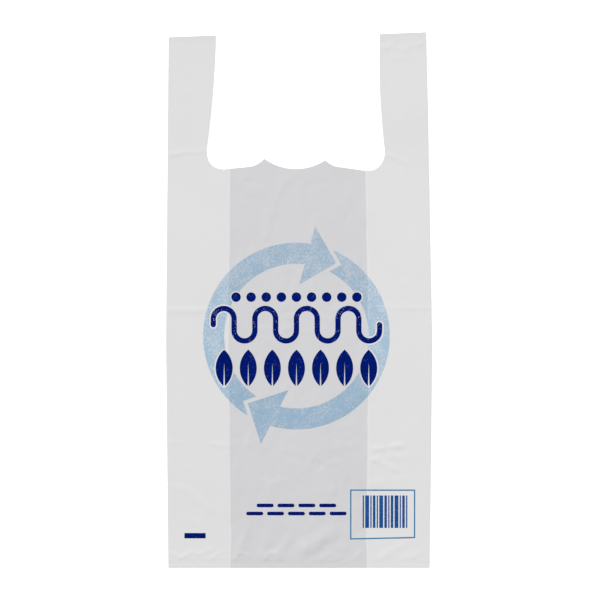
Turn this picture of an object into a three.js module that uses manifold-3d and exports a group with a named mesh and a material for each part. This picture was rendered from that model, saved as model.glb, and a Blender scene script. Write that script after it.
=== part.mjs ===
// A carrier bag of thin white plastic film, with two loop handles that are cut from its own walls.
// It lies flat on its back, as it comes off the pack: X runs across it, Y from the bottom seal to the
// handles, and Z up through its layers. Lengths are in millimetres.
//
// The bag is one piece: a tube of film, its two sides folded in as gussets, sealed across the bottom and
// across the two handle ends, with the mouth cut out of all its layers in one stroke. The rest are the
// fields of ink on its front.
import * as THREE from "three";
import { mergeVertices } from "three/addons/utils/BufferGeometryUtils.js";
import Module from "manifold-3d";

const wasm = await Module();
wasm.setup();

// Film and layers
const FILM = 0.04; // one layer of film
const LAYER_GAP = 0.7; // air between two layers where the bag lies loose
const PRESSED_GAP = 0.02; // what is left of that air beside a seal
const PRESSED_LENGTH = 18; // from a seal to where the layers lie loose
const PRESSED_STEPS = 5;
const FOLD_STEPS = 6;

// Bag, flat
const WIDTH = 250; // at the waist, where the flat bag is widest
const LENGTH = 500; // from the bottom edge to the middle of the left handle's end
const WAIST = 216; // height of the widest place
const BOTTOM_INSET = 2.1; // how far each side has come in at the bottom
const LEFT_TOP_INSET = 2.4; // the same at the left handle's end
const RIGHT_TOP_INSET = 5.2; // the same at the right handle's end
const GUSSET = 60; // depth of the fold at each side
const BOTTOM_SEAL = 5; // seal across the bottom, with the hem below it
const HANDLE_SEAL = 4; // seal across each handle's end

// Handles: widths, and how far each inner edge bows towards the other
const LEFT_END_WIDTH = 44.6;
const LEFT_ROOT_WIDTH = 36.2;
const LEFT_BOW = 1.5;
const RIGHT_END_WIDTH = 43.7;
const RIGHT_ROOT_WIDTH = 40.9;
const RIGHT_BOW = 2.1;
const RIGHT_END_RISE = 3; // how much higher the right handle ends
const END_SLOPE = 0.04; // both ends are cut a little askew

// Mouth
const LEFT_MOUTH_DEPTH = 125.3; // from the left handle's end down to the mouth's left corner
const RIGHT_MOUTH_DEPTH = 126.8; // from the same height to its right corner
const CORNER_RISE = 18.5; // height of the rounded corner at a handle's root
const CORNER_RUN = 16.5; // its width
const CORNER_FULLNESS = 0.6; // how square it is: 0.55 is a quarter of an ellipse
const LEFT_PEAK = -32.5; // across, the two peaks that the torn-off tab leaves
const RIGHT_PEAK = 24.7;
const PEAK_RISE = 10.1; // height of a peak over its side's corner
const LEFT_FLANK = 14.5; // width of a peak's outer flank
const RIGHT_FLANK = 9.9;
const LEFT_FLANK_RISE = 2.4; // height of the flank's foot over its side's corner
const RIGHT_FLANK_RISE = 4.2;
const LEFT_FLANK_HOLLOW = 1.6;
const RIGHT_FLANK_HOLLOW = 0.6;
const SCOOP_DEPTH = 9; // of the round scoop between the peaks
const CURVE_STEPS = 12;
const CUT_MARGIN = 20; // how far the cutting shapes reach past the film
const WELD = 0.0001; // points nearer than this are one

// Ink
const INK = 0.03; // height of the printed fields over the film
const HALO = 1.4; // bare film left round a dark field where it crosses a light one
const INK_STEPS = 40; // of the ring's long arcs

// Ring of two arrows
const RING_X = -2.3; // across, from the bag's middle
const RING_DROP = 6.2; // how far it lies below the middle of the space over the footer
const RING_RADIUS = 87.7;
const RING_BAND = 19.7;
const HEAD_LENGTH = 28.2; // an arrow's head is a right-angled point, so this is half its width too
const HEAD_RADIUS = 78; // where the point lies
const ARROW_GAP = 3.6; // between one arrow's head and the other's notched tail
// Where each head points to on the ring, and how far behind that the ring runs the way that the head points
const UPPER_HEAD = { point: THREE.MathUtils.degToRad(61.4), turn: THREE.MathUtils.degToRad(13.4) };
const LOWER_HEAD = { point: THREE.MathUtils.degToRad(-125.9), turn: THREE.MathUtils.degToRad(8.8) };
const TAIL_START = THREE.MathUtils.degToRad(8); // where a tail starts, behind the other point
const BAND_LEFT = 5; // band that stays outside a row which crosses the ring

// Rows inside the ring, with heights from its centre
const DOT_ROW = 36.6;
const DOTS = 9;
const DOT_RADIUS = 4.5;
const DOT_REACH = 4; // how far the last dots reach over the ring
const WAVE_ROW = 10.7;
const WAVE_ARCS = 8;
const WAVE_STROKE = 5;
const WAVE_RUN = 11; // straight stretch between two of its arcs
const LEAF_ROW = -30.2;
const LEAVES = 7;
const LEAF_HEIGHT = 35;
const LEAF_WIDTH = 16;
const RIB_WIDTH = 1.6;
const RIB_SHARE = 0.66; // of the leaf's height

// Footer: two rows of dashes, a panel of stripes and a register mark
const DASHES = [4, 5]; // in each row, from the top
const DASH_HEIGHT = 3.4;
const DASH_LENGTH = 16;
const DASH_SPACE = 3.6; // between two dashes of a row
const DASH_PITCH = 7.6; // from row to row
const DASH_DROP = 15; // from the panel's top down to the first row
const DASH_CLEAR = 3.3; // from the longest row's end to the panel
const PANEL_WIDTH = 61.2;
const PANEL_HEIGHT = 46.5;
const PANEL_LINE = 1.2;
const PANEL_SIDE = 13.8; // from the bag's right side
const PANEL_BOTTOM = 27.3;
const PANEL_SKEW = 1.3; // how much higher its bottom line ends on the right than on the left
const STRIPES = [1, 3, 1, 2, 1, 3, 2, 1, 2, 3, 1, 2, 1]; // widths, in modules, one module apart
const STRIPE_MODULE = 1.2;
const STRIPE_HEIGHT = 30.6;
const STRIPE_TOP = 5.6; // below the panel's top
const STRIPE_SIDE = 7.4; // from the panel's right edge
const MARK_WIDTH = 20;
const MARK_HEIGHT = 5;
const MARK_SIDE = 15.5; // from the bag's left side
const MARK_BOTTOM = 27.8;

const PRESSED_TOP = 4 * FILM + 3 * PRESSED_GAP;
const LOOSE_TOP = 4 * FILM + 3 * LAYER_GAP;
const LEFT_CORNER = LENGTH - LEFT_MOUTH_DEPTH;
const RIGHT_CORNER = LENGTH - RIGHT_MOUTH_DEPTH;
const HALF_TURN = Math.PI;
const QUARTER_TURN = Math.PI / 2;

const FILM_MATERIAL = new THREE.MeshStandardMaterial({ color: 0xe2e2e2, roughness: 0.45, metalness: 0 });
const BLUE_INK = new THREE.MeshStandardMaterial({ color: 0x9cb6ca, roughness: 0.5, metalness: 0 });
const NAVY_INK = new THREE.MeshStandardMaterial({ color: 0x021d69, roughness: 0.5, metalness: 0 });

// Solids

function solidOf(geometry) {
  const bare = geometry.index ? geometry.toNonIndexed() : geometry.clone();
  bare.deleteAttribute("normal");
  bare.deleteAttribute("uv");
  const merged = mergeVertices(bare, WELD);
  return new wasm.Manifold(
    new wasm.Mesh({
      numProp: 3,
      vertProperties: new Float32Array(merged.attributes.position.array),
      triVerts: new Uint32Array(merged.index.array),
    }),
  );
}

function geometryOf(solid) {
  const mesh = solid.getMesh();
  const geometry = new THREE.BufferGeometry();
  geometry.setAttribute("position", new THREE.BufferAttribute(mesh.vertProperties, mesh.numProp));
  geometry.setIndex(new THREE.BufferAttribute(mesh.triVerts, 1));
  geometry.computeVertexNormals();
  return geometry;
}

// A flat shape in the XY plane as a plate from low to high in Z.
function plate(shape, low, high, curveSegments = CURVE_STEPS) {
  const geometry = new THREE.ExtrudeGeometry(shape, {
    depth: high - low,
    bevelEnabled: false,
    curveSegments,
  });
  return solidOf(geometry.translate(0, 0, low));
}

function outline(points) {
  return new THREE.Shape(points.map(([x, y]) => new THREE.Vector2(x, y)));
}

// Goes on from the shape's last point to (x, y) along an arc that bows by rise to the left of the way.
function arcTo(shape, x, y, rise) {
  const from = shape.currentPoint;
  const [dx, dy] = [x - from.x, y - from.y];
  const chord = Math.hypot(dx, dy);
  const radius = (chord * chord / 4 + rise * rise) / (2 * Math.abs(rise));
  const aside = (Math.sign(rise) * (radius - Math.abs(rise))) / chord;
  const [cx, cy] = [(from.x + x) / 2 + aside * dy, (from.y + y) / 2 - aside * dx];
  const start = Math.atan2(from.y - cy, from.x - cx);
  shape.absarc(cx, cy, radius, start, Math.atan2(y - cy, x - cx), rise > 0);
}

// The tube of film

function inset(y, topInset) {
  if (y < WAIST) return (BOTTOM_INSET * (WAIST - y)) / WAIST;
  return (topInset * (y - WAIST)) / (LENGTH - WAIST);
}

const leftSide = (y) => -WIDTH / 2 + inset(y, LEFT_TOP_INSET);
const rightSide = (y) => WIDTH / 2 - inset(y, RIGHT_TOP_INSET);

// Air between the layers at height y: little beside a seal, and then all of it.
function gapAt(y) {
  const fromBottom = (y - BOTTOM_SEAL) / PRESSED_LENGTH;
  const fromEnd = (LENGTH - HANDLE_SEAL - RIGHT_END_RISE - y) / PRESSED_LENGTH;
  const open = THREE.MathUtils.smoothstep(Math.min(fromBottom, fromEnd), 0, 1);
  return PRESSED_GAP + (LAYER_GAP - PRESSED_GAP) * open;
}

function arc(x, z, radius, from, to) {
  const points = [];
  for (let i = 0; i <= FOLD_STEPS; i++) {
    const angle = from + ((to - from) * i) / FOLD_STEPS;
    points.push([x + radius * Math.cos(angle), z + radius * Math.sin(angle)]);
  }
  return points;
}

// The tube's section at height y, as seen along Y: along the front, in and out of the left gusset, along
// the back, and in and out of the right one. face is 1 for the film's outer face and -1 for its inner one.
function section(y, face) {
  const pitch = FILM + gapAt(y);
  const radius = pitch / 2;
  const sideFold = radius + (face * FILM) / 2;
  const gussetFold = radius - (face * FILM) / 2;
  const lower = FILM / 2 + pitch / 2;
  const middle = lower + pitch;
  const upper = middle + pitch;
  const left = leftSide(y) + radius + FILM / 2;
  const right = rightSide(y) - radius - FILM / 2;
  const leftFold = leftSide(y) + GUSSET - radius - FILM / 2;
  const rightFold = rightSide(y) - GUSSET + radius + FILM / 2;
  return [
    ...arc(left, upper, sideFold, QUARTER_TURN, QUARTER_TURN + HALF_TURN),
    ...arc(leftFold, middle, gussetFold, QUARTER_TURN, QUARTER_TURN - HALF_TURN),
    ...arc(left, lower, sideFold, QUARTER_TURN, QUARTER_TURN + HALF_TURN),
    ...arc(right, lower, sideFold, -QUARTER_TURN, -QUARTER_TURN + HALF_TURN),
    ...arc(rightFold, middle, gussetFold, -QUARTER_TURN, -QUARTER_TURN - HALF_TURN),
    ...arc(right, upper, sideFold, -QUARTER_TURN, -QUARTER_TURN + HALF_TURN),
  ];
}

// Heights at which the section changes: close together where the layers part, and one at the waist.
function stations() {
  const loose = LENGTH - HANDLE_SEAL - RIGHT_END_RISE - PRESSED_LENGTH;
  const heights = [0];
  for (let i = 0; i <= PRESSED_STEPS; i++) heights.push(BOTTOM_SEAL + (PRESSED_LENGTH * i) / PRESSED_STEPS);
  heights.push(WAIST);
  for (let i = 0; i <= PRESSED_STEPS; i++) heights.push(loose + (PRESSED_LENGTH * i) / PRESSED_STEPS);
  heights.push(LENGTH + CUT_MARGIN);
  return heights;
}

function filmTube() {
  const heights = stations();
  const rings = heights.flatMap((y) => [1, -1].map((face) => section(y, face).map(([x, z]) => [x, y, z])));
  const around = rings[0].length;
  const vertex = (station, face, i) => (2 * station + face) * around + (i % around);
  const triangles = [];
  const quad = (a, b, c, d) => triangles.push(a, c, b, a, d, c);
  for (let i = 0; i < around; i++) {
    for (let s = 0; s + 1 < heights.length; s++) {
      quad(vertex(s, 0, i), vertex(s, 0, i + 1), vertex(s + 1, 0, i + 1), vertex(s + 1, 0, i));
      quad(vertex(s, 1, i), vertex(s + 1, 1, i), vertex(s + 1, 1, i + 1), vertex(s, 1, i + 1));
    }
    const last = heights.length - 1;
    quad(vertex(0, 0, i), vertex(0, 1, i), vertex(0, 1, i + 1), vertex(0, 0, i + 1));
    quad(vertex(last, 0, i), vertex(last, 0, i + 1), vertex(last, 1, i + 1), vertex(last, 1, i));
  }
  return new wasm.Manifold(
    new wasm.Mesh({
      numProp: 3,
      vertProperties: new Float32Array(rings.flat(2)),
      triVerts: new Uint32Array(triangles),
    }),
  );
}

// The cut that makes the mouth and the handles' ends

// A handle's end edge: its height at x.
function endHeight(x) {
  const left = x < 0;
  const end = left ? LENGTH : LENGTH + RIGHT_END_RISE;
  const side = left ? leftSide(LENGTH) : rightSide(LENGTH);
  const middle = left ? side + LEFT_END_WIDTH / 2 : side - RIGHT_END_WIDTH / 2;
  return end + END_SLOPE * (x - middle);
}

// The mouth's outline from the left handle's end to the right one's, and above it all that is cut away.
function mouthCut() {
  const leftEnd = leftSide(LENGTH) + LEFT_END_WIDTH;
  const rightEnd = rightSide(LENGTH) - RIGHT_END_WIDTH;
  const leftRootHeight = LEFT_CORNER + CORNER_RISE;
  const rightRootHeight = RIGHT_CORNER + CORNER_RISE;
  const leftRoot = leftSide(leftRootHeight) + LEFT_ROOT_WIDTH;
  const rightRoot = rightSide(rightRootHeight) - RIGHT_ROOT_WIDTH;
  const drop = CORNER_RISE * CORNER_FULLNESS;
  const run = CORNER_RUN * (1 - CORNER_FULLNESS);
  const outer = WIDTH / 2 + CUT_MARGIN;
  const roof = LENGTH + 2 * CUT_MARGIN;
  const cut = new THREE.Shape();
  cut.moveTo(-outer, endHeight(-outer));
  cut.lineTo(leftEnd, endHeight(leftEnd));
  arcTo(cut, leftRoot, leftRootHeight, LEFT_BOW);
  cut.bezierCurveTo(
    leftRoot, leftRootHeight - drop,
    leftRoot + run, LEFT_CORNER,
    leftRoot + CORNER_RUN, LEFT_CORNER,
  );
  cut.lineTo(LEFT_PEAK - LEFT_FLANK, LEFT_CORNER + LEFT_FLANK_RISE);
  arcTo(cut, LEFT_PEAK, LEFT_CORNER + PEAK_RISE, -LEFT_FLANK_HOLLOW);
  arcTo(cut, RIGHT_PEAK, RIGHT_CORNER + PEAK_RISE, -SCOOP_DEPTH);
  arcTo(cut, RIGHT_PEAK + RIGHT_FLANK, RIGHT_CORNER + RIGHT_FLANK_RISE, -RIGHT_FLANK_HOLLOW);
  cut.lineTo(rightRoot - CORNER_RUN, RIGHT_CORNER);
  cut.bezierCurveTo(
    rightRoot - run, RIGHT_CORNER,
    rightRoot, rightRootHeight - drop,
    rightRoot, rightRootHeight,
  );
  arcTo(cut, rightEnd, endHeight(rightEnd), RIGHT_BOW);
  cut.lineTo(outer, endHeight(outer));
  cut.lineTo(outer, roof);
  cut.lineTo(-outer, roof);
  return plate(cut, -CUT_MARGIN, LOOSE_TOP + CUT_MARGIN);
}

// The seals, where all the layers are one

function bottomSeal() {
  const strip = outline([
    [leftSide(0), 0],
    [rightSide(0), 0],
    [rightSide(BOTTOM_SEAL), BOTTOM_SEAL],
    [leftSide(BOTTOM_SEAL), BOTTOM_SEAL],
  ]);
  return plate(strip, 0, PRESSED_TOP);
}

// A strip along a handle's end, from the bag's side to past the mouth's edge, which the mouth's cut trims.
function handleSeal(side, width) {
  const outer = side(LENGTH);
  const inner = outer - Math.sign(outer) * (width + HANDLE_SEAL);
  const strip = outline([
    [side(endHeight(outer) - HANDLE_SEAL), endHeight(outer) - HANDLE_SEAL],
    [inner, endHeight(inner) - HANDLE_SEAL],
    [inner, endHeight(inner)],
    [side(endHeight(outer)), endHeight(outer)],
  ]);
  return plate(strip, 0, PRESSED_TOP);
}

function bag() {
  return filmTube()
    .add(bottomSeal())
    .add(handleSeal(leftSide, LEFT_END_WIDTH))
    .add(handleSeal(rightSide, RIGHT_END_WIDTH))
    .subtract(mouthCut());
}

// Ink

const ringCentre = [RING_X, (LEFT_CORNER + PANEL_BOTTOM + PANEL_HEIGHT) / 2 - RING_DROP];

function inkPlate(shape, steps = CURVE_STEPS) {
  return plate(shape, LOOSE_TOP, LOOSE_TOP + INK, steps);
}

function onRing(radius, angle) {
  return [ringCentre[0] + radius * Math.cos(angle), ringCentre[1] + radius * Math.sin(angle)];
}

// Half the width of the ring's circle of that radius, at a height from its centre.
function halfChord(radius, height) {
  return Math.sqrt(radius * radius - height * height);
}

// An arrow's head, which points clockwise, with grow more on every side.
function arrowHead(head, grow) {
  const along = head.point + head.turn - QUARTER_TURN;
  const [x, y] = onRing(HEAD_RADIUS, head.point);
  const forward = [Math.cos(along), Math.sin(along)];
  const at = (ahead, aside) => [
    x + forward[0] * ahead - forward[1] * aside,
    y + forward[1] * ahead + forward[0] * aside,
  ];
  const tip = grow * Math.SQRT2;
  const back = HEAD_LENGTH + grow;
  return outline([at(tip, 0), at(-back, tip + back), at(-back, -tip - back)]);
}

// One arrow: a stretch of the ring's band that ends in its own head, less the room for the other head.
function arrow(head, otherHead) {
  const from = otherHead.point + TAIL_START;
  const to = head.point + head.turn;
  const start = from < to ? from + 2 * HALF_TURN : from;
  const inner = RING_RADIUS - RING_BAND;
  const band = new THREE.Shape();
  band.absarc(...ringCentre, RING_RADIUS, start, to, true);
  band.absarc(...ringCentre, inner, to, start, false);
  return inkPlate(band, INK_STEPS)
    .add(inkPlate(arrowHead(head, 0)))
    .subtract(inkPlate(arrowHead(otherHead, ARROW_GAP)));
}

function disc(x, y, radius) {
  const shape = new THREE.Shape();
  shape.absarc(x, y, radius, 0, 2 * HALF_TURN, false);
  return shape;
}

function dots(grow) {
  const reach = halfChord(RING_RADIUS - RING_BAND, DOT_ROW) + DOT_REACH - DOT_RADIUS;
  const shapes = [];
  for (let i = 0; i < DOTS; i++) {
    const x = ringCentre[0] - reach + (2 * reach * i) / (DOTS - 1);
    shapes.push(disc(x, ringCentre[1] + DOT_ROW, DOT_RADIUS + grow));
  }
  return shapes;
}

// A wave of half circles joined by upright runs, with round ends.
function wave(grow) {
  const stroke = WAVE_STROKE / 2 + grow;
  const reach = halfChord(RING_RADIUS, WAVE_ROW) - BAND_LEFT - WAVE_STROKE / 2 - HALO;
  const radius = reach / WAVE_ARCS;
  const middle = ringCentre[1] + WAVE_ROW;
  const left = ringCentre[0] - reach;
  const shape = new THREE.Shape();
  const half = (i, offset, from, to) => {
    const up = i % 2 === 0 ? 1 : -1;
    const x = left + (2 * i + 1) * radius;
    const y = middle + (up * WAVE_RUN) / 2;
    shape.absarc(x, y, radius + up * offset, up * from, up * to, up * from > up * to);
  };
  for (let i = 0; i < WAVE_ARCS; i++) half(i, stroke, HALF_TURN, 0);
  shape.absarc(left + 2 * reach, middle, stroke, HALF_TURN, 0, true);
  for (let i = WAVE_ARCS - 1; i >= 0; i--) half(i, -stroke, 0, HALF_TURN);
  shape.absarc(left, middle, stroke, 0, -HALF_TURN, true);
  return shape;
}

// An upright leaf: two arcs that meet in points.
function leaf(x, y, grow) {
  const half = LEAF_HEIGHT / 2 + grow;
  const bow = LEAF_WIDTH / 2 + grow;
  const shape = new THREE.Shape();
  shape.moveTo(x, y - half);
  arcTo(shape, x, y + half, -bow);
  arcTo(shape, x, y - half, -bow);
  return shape;
}

// The bare rib of a leaf, from below its foot.
function rib(x, y) {
  const foot = y - LEAF_HEIGHT / 2;
  return outline([
    [x - RIB_WIDTH / 2, foot - RIB_WIDTH],
    [x + RIB_WIDTH / 2, foot - RIB_WIDTH],
    [x, foot + LEAF_HEIGHT * RIB_SHARE],
  ]);
}

function leafPlaces() {
  const reach = halfChord(RING_RADIUS, LEAF_ROW) - BAND_LEFT - LEAF_WIDTH / 2 - HALO;
  const places = [];
  for (let i = 0; i < LEAVES; i++) {
    places.push([ringCentre[0] - reach + (2 * reach * i) / (LEAVES - 1), ringCentre[1] + LEAF_ROW]);
  }
  return places;
}

const rowLength = (count) => count * (DASH_LENGTH + DASH_SPACE) - DASH_SPACE;

// A dash with round ends.
function dash(x, y) {
  const round = DASH_HEIGHT / 2;
  const shape = new THREE.Shape();
  shape.absarc(x + DASH_LENGTH - round, y, round, -QUARTER_TURN, QUARTER_TURN, false);
  shape.absarc(x + round, y, round, QUARTER_TURN, QUARTER_TURN + HALF_TURN, false);
  return shape;
}

function rectangle(x, y, width, height) {
  return outline([
    [x, y],
    [x + width, y],
    [x + width, y + height],
    [x, y + height],
  ]);
}

const panelLeft = rightSide(PANEL_BOTTOM) - PANEL_SIDE - PANEL_WIDTH;

// Outline of the panel, with inset less on every side.
function panelOutline(inset) {
  const [left, right] = [panelLeft + inset, panelLeft + PANEL_WIDTH - inset];
  const [bottom, top] = [PANEL_BOTTOM + inset, PANEL_BOTTOM + PANEL_HEIGHT - inset];
  return outline([
    [left, bottom - PANEL_SKEW / 2],
    [right, bottom + PANEL_SKEW / 2],
    [right, top],
    [left, top],
  ]);
}

function panelFrame() {
  const frame = panelOutline(0);
  frame.holes.push(panelOutline(PANEL_LINE));
  return frame;
}

function stripes() {
  const modules = STRIPES.reduce((sum, width) => sum + width + 1, -1);
  const y = PANEL_BOTTOM + PANEL_HEIGHT - STRIPE_TOP - STRIPE_HEIGHT;
  let x = panelLeft + PANEL_WIDTH - STRIPE_SIDE - modules * STRIPE_MODULE;
  return STRIPES.map((width) => {
    const stripe = rectangle(x, y, width * STRIPE_MODULE, STRIPE_HEIGHT);
    x += (width + 1) * STRIPE_MODULE;
    return stripe;
  });
}

const model = new THREE.Group();

function place(name, solid, material) {
  const mesh = new THREE.Mesh(geometryOf(solid), material);
  mesh.name = name;
  model.add(mesh);
}

place("bag", bag(), FILM_MATERIAL);

let halos = inkPlate(wave(HALO));
for (const shape of dots(HALO)) halos = halos.add(inkPlate(shape));
for (const [x, y] of leafPlaces()) halos = halos.add(inkPlate(leaf(x, y, HALO)));
place("print_arrow_upper", arrow(UPPER_HEAD, LOWER_HEAD).subtract(halos), BLUE_INK);
place("print_arrow_lower", arrow(LOWER_HEAD, UPPER_HEAD).subtract(halos), BLUE_INK);

dots(0).forEach((shape, i) => place(`print_dot_${i + 1}`, inkPlate(shape), NAVY_INK));
place("print_wave", inkPlate(wave(0)), NAVY_INK);
leafPlaces().forEach(([x, y], i) => {
  place(`print_leaf_${i + 1}`, inkPlate(leaf(x, y, 0)).subtract(inkPlate(rib(x, y))), NAVY_INK);
});

DASHES.forEach((count, row) => {
  const middle = panelLeft - DASH_CLEAR - rowLength(Math.max(...DASHES)) / 2;
  const height = PANEL_BOTTOM + PANEL_HEIGHT - DASH_DROP - row * DASH_PITCH;
  for (let i = 0; i < count; i++) {
    const shape = dash(middle - rowLength(count) / 2 + i * (DASH_LENGTH + DASH_SPACE), height);
    place(`print_dash_${row + 1}_${i + 1}`, inkPlate(shape), NAVY_INK);
  }
});

place("print_panel_frame", inkPlate(panelFrame()), NAVY_INK);
stripes().forEach((shape, i) => place(`print_stripe_${i + 1}`, inkPlate(shape), NAVY_INK));
place(
  "print_register_mark",
  inkPlate(rectangle(leftSide(MARK_BOTTOM) + MARK_SIDE, MARK_BOTTOM, MARK_WIDTH, MARK_HEIGHT)),
  NAVY_INK,
);

// The origin lies under the middle of the bag's outline.
const bounds = new THREE.Box3().setFromObject(model);
model.position.y = -(bounds.min.y + bounds.max.y) / 2;

export default model;
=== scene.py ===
"""Dresses a plastic carrier bag that lies flat on its back: its film, the print on it, and a plain stage.

The packed model is the frame: X runs across the bag, Y from its bottom seal to its handles and Z up through
its layers, in metres. Sizes and colours are in the panel "Carrier Bag" in the 3D view's sidebar.
"""
import math
from collections import namedtuple

import bmesh
import bpy
import numpy as np
from bpy.props import FloatProperty, FloatVectorProperty, IntProperty, PointerProperty
from bpy.types import Operator, Panel, PropertyGroup
from mathutils import Matrix, Vector


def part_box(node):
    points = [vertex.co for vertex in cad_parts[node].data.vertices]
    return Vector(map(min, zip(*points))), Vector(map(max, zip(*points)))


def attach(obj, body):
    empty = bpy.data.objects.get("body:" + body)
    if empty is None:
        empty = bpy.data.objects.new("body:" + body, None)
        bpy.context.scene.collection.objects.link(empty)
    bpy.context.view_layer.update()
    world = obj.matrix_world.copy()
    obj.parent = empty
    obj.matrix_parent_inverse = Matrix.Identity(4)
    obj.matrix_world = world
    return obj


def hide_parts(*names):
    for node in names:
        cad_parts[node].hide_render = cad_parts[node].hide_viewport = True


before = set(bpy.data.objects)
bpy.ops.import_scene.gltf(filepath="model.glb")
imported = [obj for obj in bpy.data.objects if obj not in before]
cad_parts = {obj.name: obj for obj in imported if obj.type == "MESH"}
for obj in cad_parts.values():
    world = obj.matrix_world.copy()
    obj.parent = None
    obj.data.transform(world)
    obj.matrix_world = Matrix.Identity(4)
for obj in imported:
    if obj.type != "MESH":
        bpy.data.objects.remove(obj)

bl_info = {
    "name": "Carrier Bag",
    "version": (1, 0, 0),
    "blender": (4, 5, 0),
    "location": "View3D > Sidebar > Carrier Bag",
    "description": "Makes the film and the print of a flat plastic carrier bag, and a plain stage for it",
    "category": "Object",
}

MM = 0.001
BODY = "root"
BAG_LOW, BAG_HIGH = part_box("bag")
BOTTOM = BAG_LOW.y  # where the bag's bottom edge lies, along Y
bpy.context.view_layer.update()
LEFT, RIGHT = 0, 1
SIGN = (-1, 1)
BACK, GUSSET_BACK, GUSSET_FRONT, FRONT = range(4)
EDGE_LINE = 0.001  # height of the line that the cut leaves along the bottom edge
WHITE = (1, 1, 1, 1)


# Sizes and colours

def size(name, description, default):
    return FloatProperty(name=name, description=description, default=default, unit="LENGTH", precision=5)


def pair(name, description, default):
    texts = {"name": name, "description": description + ", on the left and on the right"}
    return FloatVectorProperty(**texts, default=default, size=2, unit="LENGTH", precision=5)


def share(name, description, default):
    return FloatProperty(name=name, description=description, default=default, precision=4)


def colour(name, description, default):
    texts = {"name": name, "description": description}
    return FloatVectorProperty(**texts, default=default, subtype="COLOR", size=4, min=0, max=1)


class BagOutline(PropertyGroup):
    """The flat bag's outline, with heights from its bottom edge."""

    width: size("Width", "Width at the waist, where the flat bag is widest", BAG_HIGH.x - BAG_LOW.x)
    length: size("Length", "From the bottom edge to the left handle's end", 0.5)
    waist: size("Waist", "Height of the widest place", 0.216)
    bottom_inset: size("Bottom inset", "How far each side has come in at the bottom", 0.0021)
    top_inset: pair("Top inset", "How far the side has come in at the handle's end", (0.0024, 0.0052))
    gusset: pair("Gusset", "Depth of the side's fold", (0.0592, 0.0596))
    end_width: pair("Handle end", "Width of the handle at its end", (0.0446, 0.0437))
    root_width: pair("Handle root", "Width of the handle at its root", (0.0362, 0.0409))
    bow: pair("Handle bow", "How far the handle's inner edge bows over the mouth", (0.0015, 0.0021))
    end_rise: pair("End rise", "How much past the length the handle ends", (0, 0.003))
    end_slope: share("End slope", "How much askew the handles' ends are cut", 0.04)
    mouth_depth: pair("Mouth depth", "From the length down to the mouth's corner", (0.1253, 0.1268))
    corner_rise: size("Corner rise", "Height of the rounded corner at a handle's root", 0.0185)
    corner_run: size("Corner run", "Width of that corner", 0.0165)
    corner_fullness: share("Corner fullness", "How square that corner is", 0.6)
    peak: pair("Peak", "Where the mouth's peaks stand, from the middle", (-0.0325, 0.0247))
    peak_rise: size("Peak rise", "Height of a peak over its side's corner", 0.0101)
    flank: pair("Flank", "Width of the peak's outer flank", (0.0145, 0.0099))
    flank_rise: pair("Flank rise", "Height of the flank's foot over the corner", (0.0024, 0.0042))
    flank_hollow: pair("Flank hollow", "How hollow the flank is", (0.0016, 0.0006))
    scoop: size("Scoop", "Depth of the round scoop between the peaks", 0.009)


class FilmRelief(PropertyGroup):
    """How the film lies: its thickness, the air in it, and its waves and creases."""

    film: size("Film", "Thickness of one layer", 0.00004)
    stack: size("Stack", "Height of the front over the back where four layers lie", 0.00125)
    sunk: size("Sunk middle", "How much lower the front lies over two layers", 0.00018)
    sink_run: size("Sink run", "Length over which it sinks beside a fold", 0.005)
    pressed: size("Pressed", "Height of the front over the back at a seal", 0.00016)
    puff: size("Puff", "How far the front rises right beside a seal", 0.00001)
    press_run: size("Press run", "Length of that first rise", 0.003)
    rise_run: size("Rise run", "Length over which it rises to its full height", 0.09)
    swell: size("Swell", "Height of the long waves in the front", 0.0002)
    ripple: size("Ripple", "Height of the short waves in the front", 0.000036)
    crinkle: size("Crinkle", "Height of the finest waves in the front", 0.000018)
    crease: share("Crease", "Height of the creases, as a share of their own", 1.4)
    scattered: IntProperty(name="Small creases", description="Number of small creases", default=420, min=0)
    seal: size("Seal", "Height of the bottom seal over the bottom edge", 0.0052)
    seal_width: size("Seal width", "Width of a seal", 0.0012)
    pucker: size("Pucker", "Height of the gathers over a seal", 0.00007)
    handle_seal: size("Handle seal", "From a handle's end down to its seal", 0.0035)
    pitch: size("Pitch", "Longest side of a face of the film", 0.0032)


class BagColours(PropertyGroup):
    """Colours of the film, the ink and the stage."""

    two_layers: colour("Two layers", "Film where the front lies on the back", (0.662, 0.662, 0.676, 1))
    four_layers: colour("Four layers", "Film where the gusset lies between them", (0.758, 0.754, 0.756, 1))
    pale_ink: colour("Pale ink", "What the pale blue ink lets through", (0.474, 0.680, 0.867, 1))
    dark_ink: colour("Dark ink", "The dark blue ink", (0.0004, 0.0092, 0.144, 1))
    stripe_ink: colour("Stripe ink", "The ink of the striped panel", (0.013, 0.082, 0.280, 1))
    frame_ink: colour("Frame ink", "The ink of the thin frame round the stripes", (0.045, 0.195, 0.390, 1))
    floor: colour("Floor", "The floor under the bag", (0.9, 0.9, 0.9, 1))


class StageSizes(PropertyGroup):
    """The camera, the lamp, the light from all round and the floor."""

    view_width: size("View width", "Width of the view at the bag", 0.564)
    view_x: size("View middle", "Where the camera looks, across", 0.00105)
    lens: share("Lens", "Focal length of the camera, in millimetres", 85.0)
    lamp: share("Lamp", "Light of the lamp, in watts per square metre", 2.6)
    lamp_softness: FloatProperty(
        name="Lamp softness",
        description="How wide the lamp looks from the bag",
        default=math.radians(28),
        subtype="ANGLE",
    )
    sky: share("Sky", "Light from all round", 0.54)
    floor_glow: share("Floor glow", "How much whiter the floor looks than it is lit", 0.5)


class BagSettings(PropertyGroup):
    """All the sizes and colours."""

    outline: PointerProperty(type=BagOutline)
    relief: PointerProperty(type=FilmRelief)
    colours: PointerProperty(type=BagColours)
    stage: PointerProperty(type=StageSizes)


def settings():
    return bpy.context.scene.carrier_bag


# Outline of the flat bag

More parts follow.
